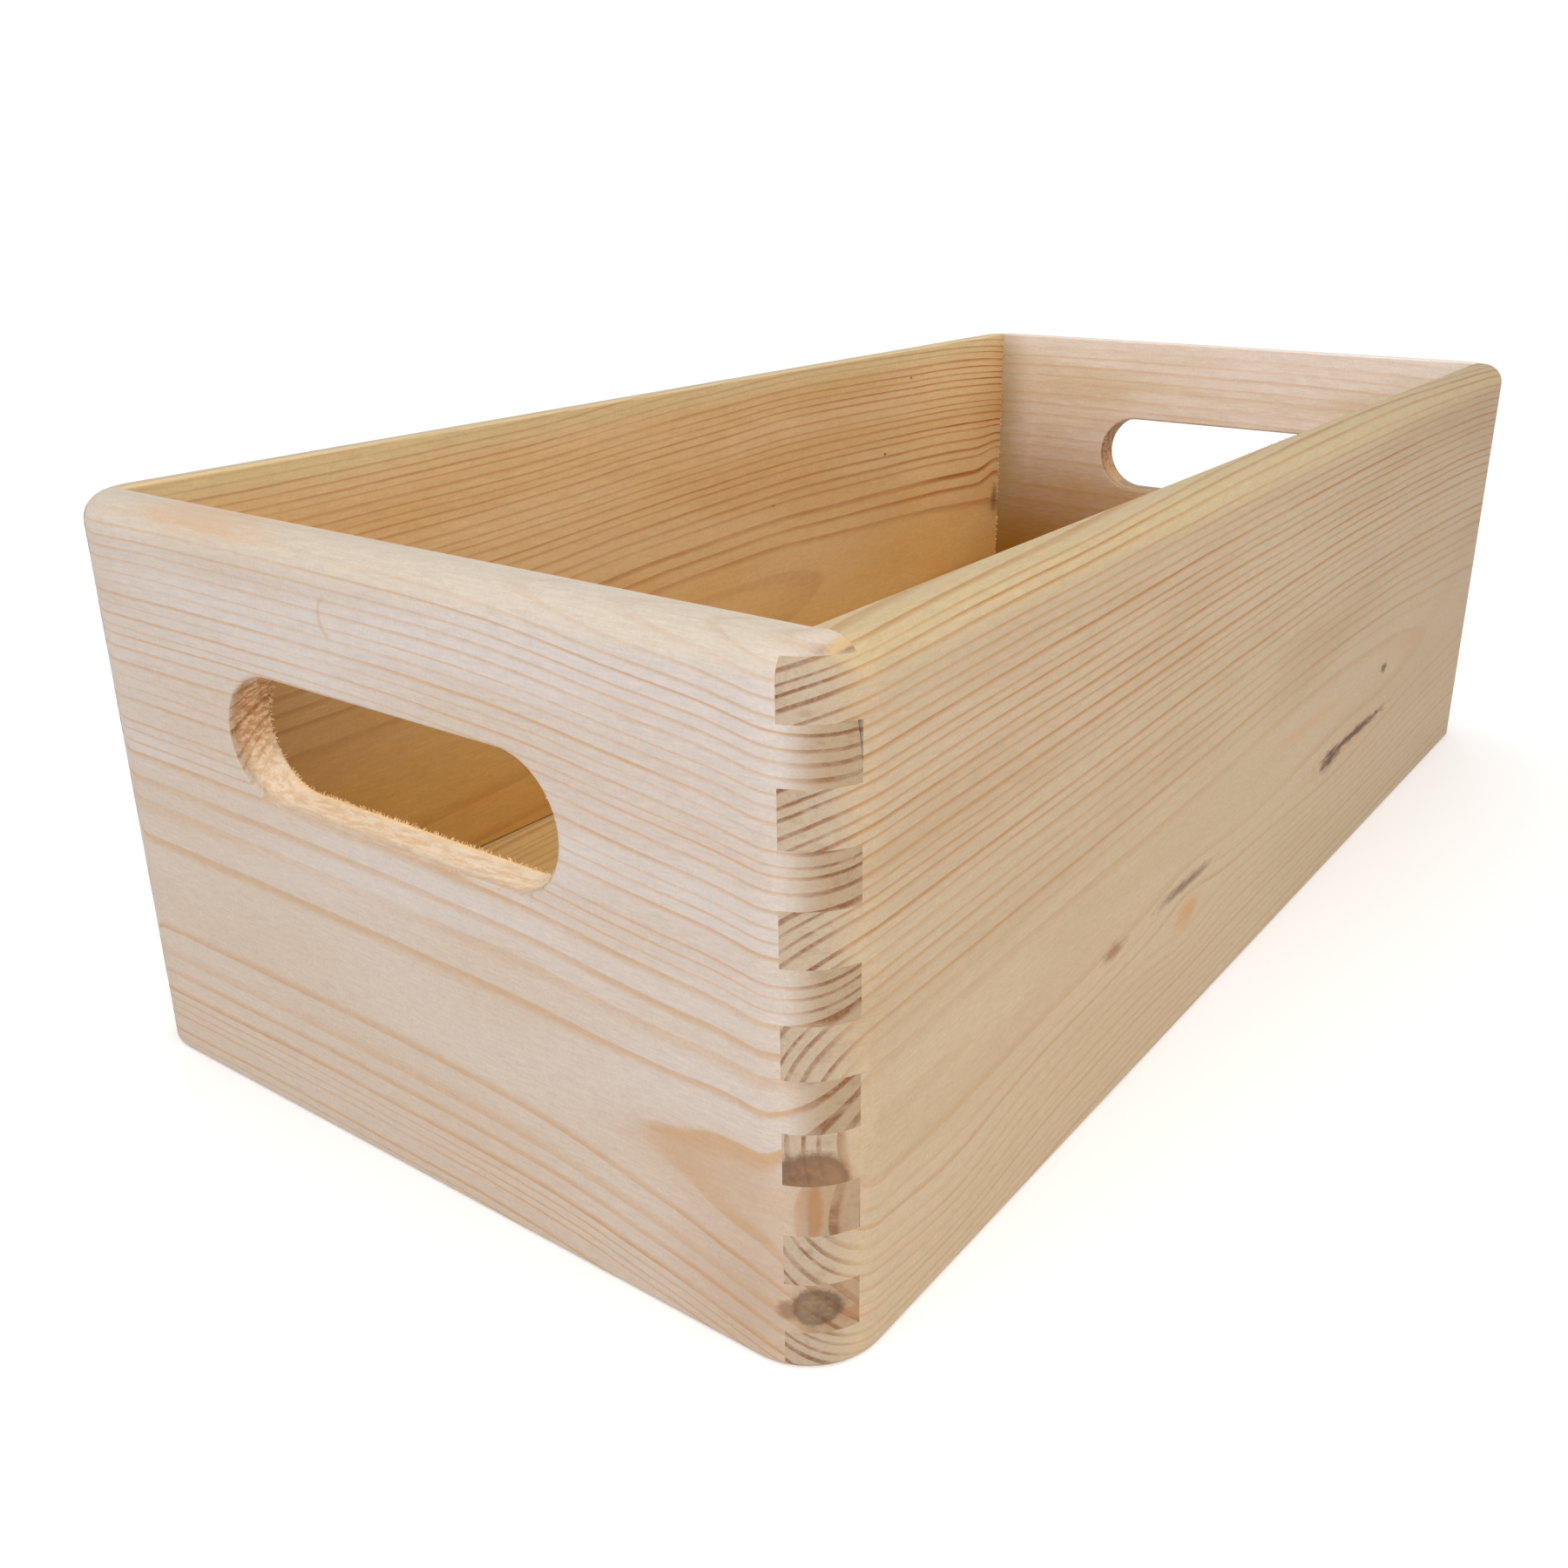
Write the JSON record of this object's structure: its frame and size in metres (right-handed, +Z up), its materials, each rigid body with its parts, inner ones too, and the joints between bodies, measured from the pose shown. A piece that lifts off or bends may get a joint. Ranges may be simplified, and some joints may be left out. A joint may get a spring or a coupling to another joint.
{
  "type": "wooden apple crate",
  "caption": "Open-topped finger-jointed pine crate with a hand slot in each end, rounded corners and rim, and a thin bottom held in grooves.",
  "frame": {"origin": "centre of the crate's outline, on the surface that it stands on", "axes": "+X along the long sides towards the right end, +Y along the ends towards the rear side, +Z up"},
  "size_m": [0.4, 0.2, 0.13],
  "materials": {
    "pine_ends": "bare sanded pine, matte",
    "pine_sides": "bare sanded pine, matte",
    "pine_bottom": "bare thin pine panel, matte"
  },
  "bodies": {
    "root": {"left_end_panel": "pine_ends", "right_end_panel": "pine_ends", "front_side_panel": "pine_sides", "rear_side_panel": "pine_sides", "bottom_panel": "pine_bottom"}
  },
  "joints": []
}
